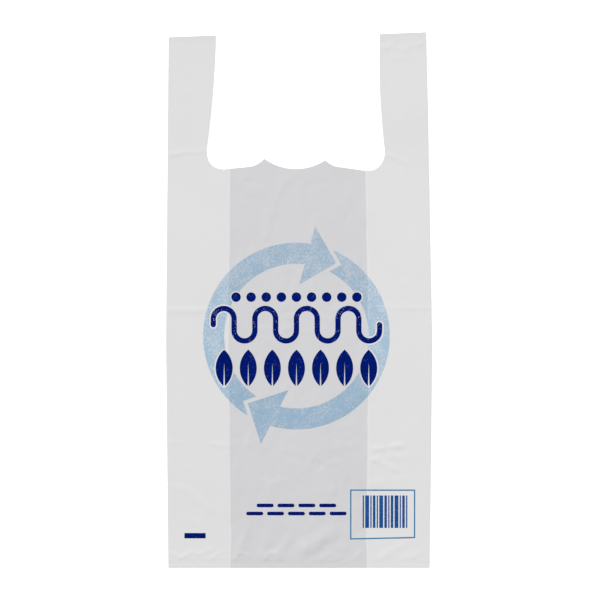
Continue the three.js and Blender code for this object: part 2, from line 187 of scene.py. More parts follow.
def inset(y, top):
    """How far a side has come in at height y: nothing at the waist, and more to both ends."""
    s = settings().outline
    down = s.bottom_inset * (s.waist - y) / s.waist
    up = top * (y - s.waist) / (s.length - s.waist)
    return np.maximum(down, up)


def side(which, y):
    """Where the left or right side is at height y."""
    s = settings().outline
    return SIGN[which] * (s.width / 2 - inset(y, s.top_inset[which]))


def fold(which, y):
    """Where a gusset's inner fold is at height y."""
    return side(which, y) - SIGN[which] * settings().outline.gusset[which]


def end_height(which, x):
    """Height of a handle's end at x."""
    s = settings().outline
    middle = side(which, s.length) - SIGN[which] * s.end_width[which] / 2
    return s.length + s.end_rise[which] + s.end_slope * (x - middle)


def corner(which):
    """Height of the mouth's left or right corner."""
    s = settings().outline
    return s.length - s.mouth_depth[which]


def root(which):
    """Where a handle's inner edge meets the mouth's corner."""
    s = settings().outline
    y = corner(which) + s.corner_rise
    return side(which, y) - SIGN[which] * s.root_width[which], y


def inner_edge(which, y):
    """Where a handle's inner edge is at height y; under the handle's root it goes straight down."""
    s = settings().outline
    root_x, root_y = root(which)
    end_x = side(which, s.length) - SIGN[which] * s.end_width[which]
    along = np.maximum(y - root_y, 0) / (s.length - root_y)
    return root_x + (end_x - root_x) * along - SIGN[which] * 4 * s.bow[which] * along * (1 - along)


def line(start, end, count):
    """Points from start to end, which is left out."""
    along = np.arange(count) / count
    return start + (end - start) * along


def arc(start, end, rise, count):
    """Points along an arc that bows by rise to the left of the way; its end is left out."""
    half = (end - start) / 2
    radius = (abs(half) ** 2 + rise**2) / (2 * rise)
    centre = (start + end) / 2 + 1j * half / abs(half) * (rise - radius)
    turn = 4 * math.atan(rise / abs(half))
    return centre + (start - centre) * np.exp(-1j * turn * np.arange(count) / count)


def bezier(a, b, c, d, count):
    """Points along a curve from a to d, which is left out."""
    t = np.arange(count) / count
    return a * (1 - t) ** 3 + 3 * b * t * (1 - t) ** 2 + 3 * c * t**2 * (1 - t) + d * t**3


CORNER_STEPS, SCOOP_STEPS = 12, 26
RUN_STEPS, FLANK_STEPS = (10, 13), (7, 5)  # left and right, from a corner to a flank and along the flank


def mouth():
    """The mouth's edge from the left handle's root to the right one's, as x + 1j * y."""
    s = settings().outline
    roots = [complex(*root(which)) for which in (LEFT, RIGHT)]
    low = [complex(roots[w].real - SIGN[w] * s.corner_run, corner(w)) for w in (LEFT, RIGHT)]
    peak = [complex(s.peak[w], corner(w) + s.peak_rise) for w in (LEFT, RIGHT)]
    foot = [complex(s.peak[w] + SIGN[w] * s.flank[w], corner(w) + s.flank_rise[w]) for w in (LEFT, RIGHT)]
    drop = 1j * s.corner_rise * s.corner_fullness
    run = s.corner_run * s.corner_fullness
    edge = np.concatenate([
        bezier(roots[LEFT], roots[LEFT] - drop, low[LEFT] - run, low[LEFT], CORNER_STEPS),
        line(low[LEFT], foot[LEFT], RUN_STEPS[LEFT]),
        arc(foot[LEFT], peak[LEFT], -s.flank_hollow[LEFT], FLANK_STEPS[LEFT]),
        arc(peak[LEFT], peak[RIGHT], -s.scoop, SCOOP_STEPS),
        arc(peak[RIGHT], foot[RIGHT], -s.flank_hollow[RIGHT], FLANK_STEPS[RIGHT]),
        line(foot[RIGHT], low[RIGHT], RUN_STEPS[RIGHT]),
        bezier(low[RIGHT], low[RIGHT] + run, roots[RIGHT] - drop, roots[RIGHT], CORNER_STEPS),
    ])
    return np.append(edge, roots[RIGHT])


# Relief of the film: heights over the floor, with x across and y from the bottom edge

Crease = namedtuple("Crease", "start end width height")
Gather = namedtuple("Gather", "x y across along height")

# Ridges and, where the height is below zero, valleys, in millimetres: from x, y to x, y, width and height
CREASES = tuple(Crease(row[:2], row[2:4], *row[4:]) for row in (
    # across the handles' roots, and where the bag was folded for its pack
    (-125, 387, -108, 391, 1.6, 0.16), (-112, 391, -88, 391, 1.6, 0.16),
    (80, 389, 92, 386, 1.5, 0.14), (90, 386, 104, 379, 1.5, 0.14),
    (106, 392, 122, 386, 1.8, 0.10), (84, 384, 98, 376, 2.2, -0.08),
    (-126, 242, -84, 242, 2.8, 0.22), (-88, 242, -60, 243, 2.4, 0.12),
    (60, 244, 96, 245, 2.2, 0.10), (90, 245, 126, 244, 2.4, 0.13),
    (-124, 119, -112, 117, 1.8, 0.14), (-84, 117, -62, 114, 1.8, 0.16),
    # right side, over the panel
    (68, 112, 83, 112.5, 2.6, 0.30), (85, 114.5, 99, 115, 2.6, 0.32),
    (67, 101.5, 77, 102, 2.6, 0.30), (81, 105, 100, 104, 2.8, 0.18),
    (76, 101, 93, 90, 2.6, 0.34), (66, 80, 81, 79, 2.4, 0.20),
    (84, 84, 124, 81, 2.2, 0.12),
    # left side, low down
    (-124, 77, -101, 72, 2.4, 0.20), (-104, 73, -80, 52, 2.6, 0.28),
    (-112, 48, -89, 39, 2.4, 0.18),
    # middle
    (-29, 324, -20, 349, 3.4, 0.17), (-20, 347, -12, 368, 3.0, 0.15),
    (-40, 356, -34, 318, 4.5, -0.10), (2, 372, 0, 330, 4.0, 0.10),
    (3, 89, 22, 115, 2.2, 0.10), (11, 86, 26, 103, 2.2, -0.07),
    (-28, 104, -10, 112, 2.6, 0.12), (26, 96, 40, 101, 2.4, 0.10),
    (-40, 74, -22, 80, 2.6, 0.09), (30, 60, 10, 66, 3.0, 0.10),
    # down to the bottom seal
    (-2, 13, 35, 36, 6.5, 0.56), (9, 8, 48, 30, 4.0, -0.26),
    (44, 30, 56, 9, 4.0, -0.22), (-20, 8, -6, 34, 4.5, 0.22),
    (-36, 7, -30, 32, 4.5, 0.14), (-58, 12, -48, 38, 3.6, 0.20),
    (-46, 9, -56, 26, 3.2, 0.12), (50, 8, 60, 17, 2.4, 0.22),
    (-122, 15, -110, 8, 2.0, 0.20), (-112, 9, -100, 16, 2.0, 0.17),
    (-102, 17, -92, 9, 2.0, 0.18), (-96, 12, -78, 19, 2.2, 0.15),
    (-84, 8, -72, 15, 2.0, 0.16), (76, 9, 88, 18, 2.2, 0.20),
    (88, 16, 102, 24, 2.2, 0.17), (104, 8, 116, 16, 2.0, 0.15),
    # handles
    (-120, 446, -88, 449, 2.2, 0.06), (76, 492, 84, 488, 1.6, 0.16),
    (80, 486, 92, 497, 1.6, 0.20), (90, 491, 101, 485, 1.7, 0.16),
    (98, 484, 108, 496, 1.6, 0.20), (108, 490, 120, 496, 1.7, 0.18),
    (84, 478, 104, 481, 2.4, 0.12), (84, 420, 98, 422, 2.0, 0.06),
))

# Round arches of film over the bottom seal, in millimetres: x, y, half the width and the depth, height
GATHERS = tuple(Gather(*row) for row in (
    (-54, 5, 7, 9, 0.28), (-24.5, 5, 8, 9, 0.26), (38, 5, 18, 15, 0.14),
    (30, 5, 8, 8, 0.12), (-70, 5, 5, 5, 0.10), (-106, 5, 7, 6, 0.10),
    (-84, 5, 6, 5, 0.10), (88, 5, 9, 7, 0.10), (104, 5, 6, 6, 0.10),
))
RIM_WIDTH, HUMP = 0.2, 0.35  # of a gather's radius, and of its height
CREASE_END = (-0.15, 0.3)  # where a crease rises, as shares of its length
HEM_SHARE = 0.2  # how much less the hem parts than the film over the seal
CALM_SIDE = (-0.02, 0.01)  # where the short waves start, from a gusset's fold into the middle
PUCKER_REACH, PUCKER_BASE = 4, 0.15  # in widths of the seal, and as a share of the puckers' height
BACK_LIFT = 2.5  # in heights of the back's waves

# Small creases, in millimetres and radians: most lie in the middle, and more of them low down
MIDDLE_SHARE, MIDDLE_HALF, SIDE_HALF = 0.7, 63, (66, 122)
SCATTER_LOW, MIDDLE_REACH, SIDE_REACH, LOW_BIAS = 8, 360, 480, 1.3
SCATTER_SEED, SIDE_TURN, SIDE_HEIGHT = 17, 0.35, 0.4
HALF_LENGTHS, HEIGHTS, WIDTHS = (2, 9), (0.04, 0.14), (2, 4)

Waves = namedtuple("Waves", "seed count shortest longest")
SWELL = Waves(3, 14, 0.11, 0.26)
RIPPLE = Waves(5, 26, 0.026, 0.06)
CRINKLE = Waves(8, 40, 0.007, 0.018)
PUCKER = Waves(11, 12, 0.006, 0.016)
UNDERSIDE = Waves(21, 12, 0.05, 0.12)


def smooth(value, low, high):
    """From 0 at low to 1 at high, with soft ends."""
    t = np.clip((value - low) / (high - low), 0, 1)
    return t * t * (3 - 2 * t)


def waves(x, y, kind):
    """Crossing waves with a height of about one, the same at every run."""
    random = np.random.default_rng(kind.seed)
    total = np.zeros(np.broadcast(x, y).shape)
    for _ in range(kind.count):
        turn, phase = random.uniform(0, math.tau, 2)
        step = math.tau / random.uniform(kind.shortest, kind.longest)
        total += np.sin(step * (x * math.cos(turn) + y * math.sin(turn)) + phase)
    return total / math.sqrt(kind.count)


def ridge(x, y, crease):
    """Height of one crease at x, y."""
    start, end = (complex(*point) * MM for point in (crease.start, crease.end))
    way = end - start
    offset = (x + 1j * y - start) / way
    across = offset.imag * abs(way) / (crease.width * MM)
    ends = smooth(offset.real, *CREASE_END) * smooth(1 - offset.real, *CREASE_END)
    return crease.height * MM * np.exp(-across * across) * ends


def scattered_creases():
    """Small creases all over the bag, the same at every run."""
    random, creases = np.random.default_rng(SCATTER_SEED), []
    for _ in range(settings().relief.scattered):
        middle = random.random() < MIDDLE_SHARE
        if middle:
            x = random.uniform(-MIDDLE_HALF, MIDDLE_HALF)
        else:
            x = random.choice((-1, 1)) * random.uniform(*SIDE_HALF)
        y = SCATTER_LOW + (MIDDLE_REACH if middle else SIDE_REACH) * random.random() ** LOW_BIAS
        turn = random.uniform(0, math.pi) if middle else random.normal(0, SIDE_TURN)
        half = random.uniform(*HALF_LENGTHS) * complex(math.cos(turn), math.sin(turn))
        height = random.choice((-1, 1)) * random.uniform(*HEIGHTS) * (1 if middle else SIDE_HEIGHT)
        ends = [(end.real, end.imag) for end in (complex(x, y) - half, complex(x, y) + half)]
        creases.append(Crease(*ends, random.uniform(*WIDTHS), height))
    return creases


def gathered(x, y, gather):
    """Height of one gather at x, y: a low hump with a rim round it."""
    radius = np.hypot((x / MM - gather.x) / gather.across, (y / MM - gather.y) / gather.along)
    rim = np.exp(-(((radius - 1) / RIM_WIDTH) ** 2))
    return gather.height * MM * (rim + HUMP * np.maximum(1 - radius**2, 0))


def seal_distance(x, y):
    """Distance to the nearest seal, at the bottom or a handle's end; the hem past it parts less."""
    relief = settings().relief
    ends = np.where(x < 0, end_height(LEFT, x), end_height(RIGHT, x)) - relief.handle_seal
    inside = np.minimum(y - relief.seal, ends - y)
    return np.where(inside > 0, inside, -HEM_SHARE * inside)


def stack_height(x, y):
    """How high the front lies over the back."""
    relief = settings().relief
    distance = seal_distance(x, y)
    near = smooth(distance, relief.seal_width / 2, relief.press_run)
    into_band = np.minimum(x - fold(LEFT, y), fold(RIGHT, y) - x)
    loose = relief.stack - relief.sunk * smooth(into_band, -relief.sink_run / 2, relief.sink_run / 2)
    loose = loose + relief.swell * waves(x, y, SWELL)
    base = relief.pressed + relief.puff * near
    base = base + (loose - relief.pressed - relief.puff) * smooth(distance, 0, relief.rise_run)
    fine = relief.ripple * waves(x, y, RIPPLE) + relief.crinkle * waves(x, y, CRINKLE)
    detail = fine * smooth(into_band, *CALM_SIDE)
    for crease in (*CREASES, *scattered_creases()):
        detail = detail + relief.crease * ridge(x, y, crease)
    for gather in GATHERS:
        detail = detail + relief.crease * gathered(x, y, gather)
    puckers = waves(x, 0 * y, PUCKER) * np.exp(-distance / (PUCKER_REACH * relief.seal_width))
    puckers = relief.pucker * smooth(distance, 0, relief.seal_width) * (PUCKER_BASE + puckers)
    return np.maximum(base + detail * near, relief.pressed) + puckers


def back_height(x, y):
    """How high the back lies over the floor."""
    relief = settings().relief
    return relief.film + relief.ripple * (BACK_LIFT + waves(x, y, UNDERSIDE))


def layer_height(layer, x, y):
    return back_height(x, y) + stack_height(x, y) * layer / FRONT


# The film

COLUMNS = {BACK: 8, GUSSET_BACK: 4, GUSSET_FRONT: 5, FRONT: 17}  # of each layer, across a handle
FOLD_STEPS = 3
BESIDE_FOLD = 0.008  # where the column beside a side's fold stands, to keep the fold's shading to itself
FIRST_ROW, CREASE_ROW, ROW_GROWTH = 0.0006, 0.0013, 0.08  # steps between rows, and how fast they grow
CREASED_ROWS = (0.011, 0.1, 0.116, 0.243, 0.388)  # heights with steep creases, where rows lie close
BACK_STEP = 2  # a column of the back for so many of the front
BENT_FROM = 0.9  # share of its height from which a column bends to its point on the mouth
SHARP = math.radians(60)  # edges over this angle look sharp
STRIPS = ((LEFT, GUSSET_FRONT, FRONT), (LEFT, BACK, GUSSET_BACK), (RIGHT, FRONT, GUSSET_FRONT),
          (RIGHT, GUSSET_BACK, BACK))


def graded(length, creased=()):
    """Places from 0 to 1 over a length, close together at its start and at its creases."""
    pitch = settings().relief.pitch
    places = [0.0]
    while places[-1] < length:
        place = places[-1]
        near = [CREASE_ROW + ROW_GROWTH * abs(place - height) for height in creased]
        places.append(place + min(pitch, FIRST_ROW + ROW_GROWTH * place, *near))
    return np.array(places)[:, None] / places[-1]


def shares(layer):
    """Places of a layer's columns across a handle: 0 at the bag's side and 1 at the inner edge."""
    even = np.arange(1, COLUMNS[layer] + 1) / COLUMNS[layer]
    return np.concatenate([(0, BESIDE_FOLD), even])


def fold_radius(place, lower, y):
    """Half the height between two layers at a fold."""
    return (layer_height(lower + 1, place, y) - layer_height(lower, place, y)) / 2


def span(which, layer, y):
    """Points of a layer between the bag's side and the handle's inner edge, or what is under it."""
    lower = BACK if layer in (BACK, GUSSET_BACK) else GUSSET_FRONT
    outer = side(which, y) - SIGN[which] * fold_radius(side(which, y), lower, y)
    x = outer + (inner_edge(which, y) - outer) * shares(layer)
    return x, y + 0 * x, layer_height(layer, x, y)


def fold_round(place, out, lower, y, upwards):
    """Points round a fold that bulges to out, between a layer and the one over it."""
    angles = np.linspace(-math.pi / 2, math.pi / 2, FOLD_STEPS + 2)[1:-1][::1 if upwards else -1]
    radius = fold_radius(place, lower, y)
    x = place + out * radius * (np.cos(angles) - 1)
    return x, y + 0 * x, layer_height(lower, place, y) + radius * (1 + np.sin(angles))


def under_mouth(edge, start, end, rows, layer):
    """Points of a layer in columns that are evenly spread low down and end on the mouth's edge."""
    even = start + (end - start) * np.linspace(0, 1, len(edge))
    x = even + (edge.real - even) * smooth(rows, BENT_FROM, 1)
    y = rows * edge.imag
    return x, y, layer_height(layer, x, y)


def side_by_side(*parts):
    return tuple(np.hstack(part) for part in zip(*parts))


def turned(part):
    return tuple(values[:, ::-1] for values in part)


def trimmed(part):
    return tuple(values[:, :-1] for values in part)


def wall(layer, rows, edge):
    """The front or the back of the bag under its mouth and handles, from left to right."""
    hems = [trimmed(span(which, layer, rows * root(which)[1])) for which in (LEFT, RIGHT)]
    middle = under_mouth(edge, root(LEFT)[0], root(RIGHT)[0], rows, layer)
    return side_by_side(hems[LEFT], middle, turned(hems[RIGHT]))


def gusset_edge(which, edge):
    """The part of the mouth's edge that a gusset has, from the handle's root to the gusset's fold."""
    points = edge if which == LEFT else edge[::-1]
    inside = SIGN[which] * (points.real - fold(which, points.imag)) > settings().relief.pitch / 4
    points = points[: int(np.argmin(inside))]
    last = fold(which, points[-1].imag)
    return np.append(points, complex(last, np.interp(last, edge.real, edge.imag)))


def gusset(which, layer, rows, edge):
    """A layer of a gusset, from the bag's side to the gusset's fold."""
    points = gusset_edge(which, edge)
    y = rows * points[-1].imag
    end = fold(which, y)
    inner = under_mouth(points, root(which)[0], end, rows, layer)
    return side_by_side(trimmed(span(which, layer, rows * root(which)[1])), inner)


def gusset_fold(which, rows, edge, upwards):
    """The inner fold of a gusset, whose outermost line lies where the gusset's layers end."""
    y = rows * gusset_edge(which, edge)[-1].imag
    return fold_round(fold(which, y), -SIGN[which], GUSSET_BACK, y, upwards)


def side_fold(which, lower, y, upwards):
    return fold_round(side(which, y), SIGN[which], lower, y, upwards)


def pleat(which, layers, folds, rows, edge):
    """A side's gusset between its two outer folds, in the order in which the film goes round."""
    y, upwards = rows * root(which)[1], which == LEFT
    return {
        (which, folds[0]): side_fold(which, folds[0], y, upwards),
        (which, "in"): gusset(which, layers[0], rows, edge),
        (which, "fold"): gusset_fold(which, rows, edge, upwards),
        (which, "out"): turned(gusset(which, layers[1], rows, edge)),
        (which, folds[1]): side_fold(which, folds[1], y, upwards),
    }


def handle_strip(which, first, last, steps):
    """Two layers of a handle and the fold between them, from inner edge to inner edge."""
    top, low = settings().outline.length, root(which)[1]
    walls = []
    for layer in (first, last):
        x = side(which, top) + (inner_edge(which, top) - side(which, top)) * shares(layer)
        walls.append(span(which, layer, low + steps * (end_height(which, x) - low)))
    fold_y = walls[0][1][:, :1]
    return side_by_side(turned(walls[0]), side_fold(which, min(first, last), fold_y, last > first), walls[1])


def quads(grid):
    """Faces between the neighbours in a grid of point numbers."""
    return np.stack([grid[:-1, :-1], grid[:-1, 1:], grid[1:, 1:], grid[1:, :-1]], -1).reshape(-1, 4)


def film_sheet():
    """Points and faces of the film without its thickness.

    A row of points goes once round the tube: over the front, in and out of the right gusset, over the
    back, and in and out of the left gusset. Past the mouth, four stretches of the row go on as handles.
    """
    edge = mouth()
    coarse = np.append(edge[:-1:BACK_STEP], edge[-1])
    roots_y = max(root(LEFT)[1], root(RIGHT)[1])
    rows = graded(roots_y, CREASED_ROWS)
    lanes = {
        "front": wall(FRONT, rows, edge),
        **pleat(RIGHT, (GUSSET_FRONT, GUSSET_BACK), (GUSSET_FRONT, BACK), rows, coarse),
        "back": turned(wall(BACK, rows, coarse)),
        **pleat(LEFT, (GUSSET_BACK, GUSSET_FRONT), (BACK, GUSSET_FRONT), rows, coarse),
    }
    starts, columns = {}, 0
    for name, lane in lanes.items():
        starts[name] = columns
        columns += lane[0].shape[1]
    body = np.stack(side_by_side(*lanes.values()), -1)
    numbers = np.arange(body.shape[0] * columns).reshape(-1, columns)
    points, faces = [body.reshape(-1, 3)], [quads(np.hstack([numbers, numbers[:, :1]]))]
    total = numbers.size
    steps = 1 - graded(settings().outline.length - roots_y)[::-1]
    for which, first, last in STRIPS:
        strip = np.stack(handle_strip(which, first, last, steps[1:]), -1)
        start = starts[which, min(first, last)] - len(shares(first))
        roots = numbers[-1, (start + np.arange(strip.shape[1])) % columns]
        above = total + np.arange(strip.shape[0] * strip.shape[1]).reshape(strip.shape[:2])
        points.append(strip.reshape(-1, 3))
        faces.append(quads(np.vstack([roots, above])))
        total += above.size
    points = np.vstack(points)
    points[:, 1] += BOTTOM
    return points, np.vstack(faces)


def new_object(name, data):
    made = bpy.data.objects.new(name, data)
    bpy.context.collection.objects.link(made)
    return made


def applied(piece):
    """Swaps a piece's mesh for what its modifiers make of it, and takes the modifiers off."""
    graph = bpy.context.evaluated_depsgraph_get()
    mesh = bpy.data.meshes.new_from_object(piece.evaluated_get(graph))
    mesh.name = piece.name
    piece.modifiers.clear()
    old, piece.data = piece.data, mesh
    bpy.data.meshes.remove(old)
    return piece


def make_film():
    """The film as a closed thin shell."""
    points, faces = film_sheet()
    mesh = bpy.data.meshes.new("bag_film")
    mesh.from_pydata(points.tolist(), [], faces.tolist())
    mesh.validate()
    film = new_object("bag_film", mesh)
    wall_modifier = film.modifiers.new("Thickness", "SOLIDIFY")
    wall_modifier.thickness = settings().relief.film
    wall_modifier.offset = 0
    applied(film)
    film.data.shade_smooth()
    film.data.set_sharp_from_angle(angle=SHARP)
    film.data.materials.append(kept_material("white_film", film_material))
    return film


# Materials

class Tree:
    """Adds nodes to a node tree and feeds their inputs."""

    def __init__(self, tree):
        self.tree = tree

    def feed(self, socket, value):
        if isinstance(value, bpy.types.NodeSocket):
            self.tree.links.new(value, socket)
        else:
            socket.default_value = value

    def add(self, kind, inputs=None, **options):
        node = self.tree.nodes.new(kind)
        for name, value in options.items():
            setattr(node, name, value)
        for name, value in (inputs or {}).items():
            self.feed(node.inputs[name], value)
        return node

    def math(self, operation, *values, clamp=False):
        node = self.add("ShaderNodeMath", operation=operation, use_clamp=clamp)
        for socket, value in zip(node.inputs, values):
            self.feed(socket, value)
        return node.outputs[0]

    def distance(self, value, place):
        return self.math("ABSOLUTE", self.math("SUBTRACT", value, place))

    def range(self, value, low, high, to_low=0.0, to_high=1.0):
        ends = {"From Min": low, "From Max": high, "To Min": to_low, "To Max": to_high}
        node = self.add("ShaderNodeMapRange", {"Value": value, **ends}, interpolation_type="SMOOTHSTEP")
        return node.outputs["Result"]

    def mix(self, share_, first, second, blend="MIX"):
        node = self.add("ShaderNodeMix", data_type="RGBA", blend_type=blend)
        for number, value in ((0, share_), (6, first), (7, second)):
            self.feed(node.inputs[number], value)
        return node.outputs[2]

    def noise(self, vector, scale, detail=2.0, roughness=0.5, output="Fac"):
        inputs = {"Vector": vector, "Scale": scale, "Detail": detail, "Roughness": roughness}
        return self.add("ShaderNodeTexNoise", inputs).outputs[output]

    def unevenness(self, vector, *noise):
        return self.math("SUBTRACT", self.noise(vector, *noise), 0.5)

    def axes(self, vector):
        return self.add("ShaderNodeSeparateXYZ", {"Vector": vector}).outputs

    def scaled(self, vector, scale, shift=(0, 0, 0)):
        node = self.add("ShaderNodeVectorMath", {0: vector, 1: scale, 2: shift}, operation="MULTIPLY_ADD")
        return node.outputs[0]

    def grey(self, value):
        return self.add("ShaderNodeCombineColor", dict.fromkeys(("Red", "Green", "Blue"), value)).outputs[0]

    def place(self):
        return self.add("ShaderNodeTexCoord").outputs["Object"]

    def group(self, group, **inputs):
        node = self.add("ShaderNodeGroup", node_tree=group)
        for name, value in inputs.items():
            self.feed(node.inputs[name.replace("_", " ").capitalize()], value)
        return node


def new_group(name, inputs, outputs, kind="ShaderNodeTree"):
    """A node group with its sockets, given as pairs of name and type, and its two end nodes."""
    group = bpy.data.node_groups.new(name, kind)
    for way, sockets in (("INPUT", inputs), ("OUTPUT", outputs)):
        for socket_name, socket_type in sockets:
            group.interface.new_socket(socket_name, in_out=way, socket_type="NodeSocket" + socket_type)
    tree = Tree(group)
    return group, tree, tree.add("NodeGroupInput").outputs, tree.add("NodeGroupOutput").inputs


def kept_group(make):
    """Makes a node group at its first use and finds it again after that."""
    name = make.__doc__.split(":")[0]
    return bpy.data.node_groups.get(name) or make(name)


Ramp = namedtuple("Ramp", "start end before after")
Noise = namedtuple("Noise", "scale detail roughness", defaults=(0.5,))

# Painted light and shade on the film, as a share of its colour: by height, across, from a pressed line and
# down from the ends
LOW_SHADE = Ramp(0.15, 0.34, -0.016, -0.004)
HANDLE_SHADE = Ramp(0.36, 0.42, 0.0, -0.014)
RIGHT_LIGHT = Ramp(0.02, 0.12, 0.0, 0.009)
LINE_SHADE = Ramp(0.0, 0.0009, -0.025, 0.0)
END_SHADE = Ramp(0.008, 0.003, 0.0, -0.02)
CLOUD, CLOUD_LIGHT = Noise(22.0, 4.0, 0.6), 0.03
STREAKS, STREAK_DETAIL, STREAK_LIGHT = (420, 3, 1), 3.0, 0.012
WOBBLES, WOBBLE = (0, 30, 0), Ramp(0.2, 0.8, -0.0006, 0.0006)  # of a gusset's inner fold
FOLD_BLUR = 0.0005
FOLD_PLACE, FOLD_LINE, FOLD_HIGHLIGHT = 0.0009, Ramp(0.0, 0.0012, 1.0, 0.0), 0.022  # the fold's pale line, a painted highlight along the ridge of the front over the fold


def layer_tone_and_painted_light(name):
    """Layer tone: how much light the film sends back, with two layers or four under each other."""
    s = settings().outline
    group, tree, given, out = new_group(
        name, (("Two layers", "Color"), ("Four layers", "Color")), (("Color", "Color"),)
    )
    place = tree.place()
    x, y, _ = tree.axes(place)
    y = tree.math("SUBTRACT", y, BOTTOM)
    beyond = []
    for which in (LEFT, RIGHT):
        down = tree.math("MULTIPLY_ADD", y, -s.bottom_inset / s.waist, s.bottom_inset)
        slope = s.top_inset[which] / (s.length - s.waist)
        up = tree.math("MULTIPLY_ADD", y, slope, -slope * s.waist)
        line_x = tree.math("SUBTRACT", s.width / 2 - s.gusset[which], tree.math("MAXIMUM", down, up))
        beyond.append(tree.math("SUBTRACT", tree.math("MULTIPLY", x, float(SIGN[which])), line_x))
    beyond = tree.math("MAXIMUM", *beyond)
    wobble = tree.noise(tree.scaled(place, WOBBLES), 1.0)
    beyond = tree.math("ADD", beyond, tree.range(wobble, *WOBBLE))
    four = tree.range(beyond, -FOLD_BLUR, FOLD_BLUR)
    # Painted highlight along the ridge where the front lies over each gusset's inner fold
    fold_highlight = tree.range(tree.distance(beyond, FOLD_PLACE), *FOLD_LINE)
    colour_ = tree.mix(four, given["Two layers"], given["Four layers"])
    cloud = tree.unevenness(place, *CLOUD)
    streak = tree.unevenness(tree.scaled(place, STREAKS), 1.0, STREAK_DETAIL)
    light = tree.math("MULTIPLY_ADD", cloud, CLOUD_LIGHT, 1.0)
    light = tree.math("MULTIPLY_ADD", streak, STREAK_LIGHT, light)
    light = tree.math("MULTIPLY_ADD", fold_highlight, FOLD_HIGHLIGHT, light)
    # Painted shade low down, on the handles, along the pressed lines and at the handles' ends, and painted
    # light to the right
    shades = [(y, LOW_SHADE), (y, HANDLE_SHADE), (x, RIGHT_LIGHT)]
    shades += [(tree.distance(y, height), LINE_SHADE) for height in (settings().relief.seal, EDGE_LINE)]
    shades.append((y, END_SHADE._replace(start=s.length - END_SHADE.start, end=s.length - END_SHADE.end)))
    for where, shade in shades:
        light = tree.math("ADD", light, tree.range(where, *shade))
    tree.feed(out["Color"], tree.mix(1.0, colour_, tree.grey(light), "MULTIPLY"))
    return group


GRAIN, GRAIN_HEIGHT = Noise(240.0, 3.0), 0.00008
CALM_GRAIN = Ramp(0.05, 0.075, 1.0, 0.4)  # the middle has all of it, and the sides less
CELLS, CELL_DRIFT, CELL_SHIFT = 75.0, Noise(60.0, 2.0), 0.018  # net of fine valleys, bent by noise
VALLEY, VALLEY_DEPTH = Ramp(0.0, 0.08, -1.0, 0.0), 0.00002
VALLEY_NOISE, VALLEY_PLACES = Noise(40.0, 2.0), (0.45, 0.62)
DRAW_LINES, DRAW_DETAIL, DRAW_HEIGHT = (900, 14, 1), 2.0, 0.000004  # lines the way the film was drawn
GLOSS_NOISE, GLOSS = Noise(45.0, 4.0), Ramp(0.3, 0.7, 0.48, 0.62)


def film_grain(name):
    """Film grain: the finest unevenness of blown film, which a bump and the gloss follow."""
    group, tree, given, out = new_group(
        name, (("Grain", "Float"),), (("Height", "Float"), ("Roughness", "Float"))
    )
    place = tree.place()
    across = tree.math("ABSOLUTE", tree.axes(place)["X"])
    loose = tree.range(across, *CALM_GRAIN)
    grain_ = tree.math("MULTIPLY", tree.noise(place, *GRAIN), given["Grain"])
    bent = tree.scaled(tree.noise(place, *CELL_DRIFT, output="Color"), (CELL_SHIFT,) * 3, place)
    cells = tree.add("ShaderNodeTexVoronoi", {"Vector": bent, "Scale": CELLS}, feature="DISTANCE_TO_EDGE")
    valleys = tree.range(cells.outputs["Distance"], *VALLEY)
    where = tree.range(tree.noise(place, *VALLEY_NOISE), *VALLEY_PLACES)
    valleys = tree.math("MULTIPLY", tree.math("MULTIPLY", valleys, where), VALLEY_DEPTH)
    uneven = tree.math("MULTIPLY", tree.math("ADD", grain_, valleys), loose)
    drawn = tree.noise(tree.scaled(place, DRAW_LINES), 1.0, DRAW_DETAIL)
    tree.feed(out["Height"], tree.math("MULTIPLY_ADD", drawn, DRAW_HEIGHT, uneven))
    tree.feed(out["Roughness"], tree.range(tree.noise(place, *GLOSS_NOISE), *GLOSS))
    return group


SPECKS, BLOTCHES, BLOTCH_SHARE = Noise(620.0, 2.0, 0.8), Noise(60.0, 4.0, 0.6), 0.5
HOLE_CELLS, HOLE = 700.0, Ramp(0.12, 0.3, 1.0, 0.0)
HOLE_NOISE, HOLE_PLACES = Noise(240.0, 2.0), (0.5, 0.62)


def ink_wear(name):
    """Ink wear: where ink has taken on the film, from 1 where it is whole to 0 in its pinholes."""
    group, tree, given, out = new_group(
        name, (("Mottle", "Float"), ("Pinholes", "Float")), (("Density", "Float"), ("Cover", "Float"))
    )
    place = tree.place()
    specks, blotches = tree.unevenness(place, *SPECKS), tree.unevenness(place, *BLOTCHES)
    uneven = tree.math("MULTIPLY_ADD", blotches, BLOTCH_SHARE, specks)
    tree.feed(out["Density"], tree.math("MULTIPLY_ADD", uneven, given["Mottle"], 1.0))
    cells = tree.add("ShaderNodeTexVoronoi", {"Vector": place, "Scale": HOLE_CELLS})
    holes = tree.range(cells.outputs["Distance"], *HOLE)
    chosen = tree.range(tree.noise(place, *HOLE_NOISE), *HOLE_PLACES)
    holes = tree.math("MULTIPLY", tree.math("MULTIPLY", holes, chosen), given["Pinholes"])
    tree.feed(out["Cover"], tree.math("SUBTRACT", 1.0, holes, clamp=True))
    return group


def kept_material(name, make, *options):
    """Makes a material at its first use and finds it again after that."""
    return bpy.data.materials.get(name) or make(name, *options)


def new_material(name):
    material = bpy.data.materials.new(name)
    material.use_nodes = True
    tree = Tree(material.node_tree)
    return material, tree, material.node_tree.nodes["Principled BSDF"].inputs


# The film's colour by its layers, with its painted light and shade, for the film and under the inks
def tone(tree):
    colours = settings().colours
    two, four = tuple(colours.two_layers), tuple(colours.four_layers)
    return tree.group(kept_group(layer_tone_and_painted_light), two_layers=two, four_layers=four).outputs["Color"]


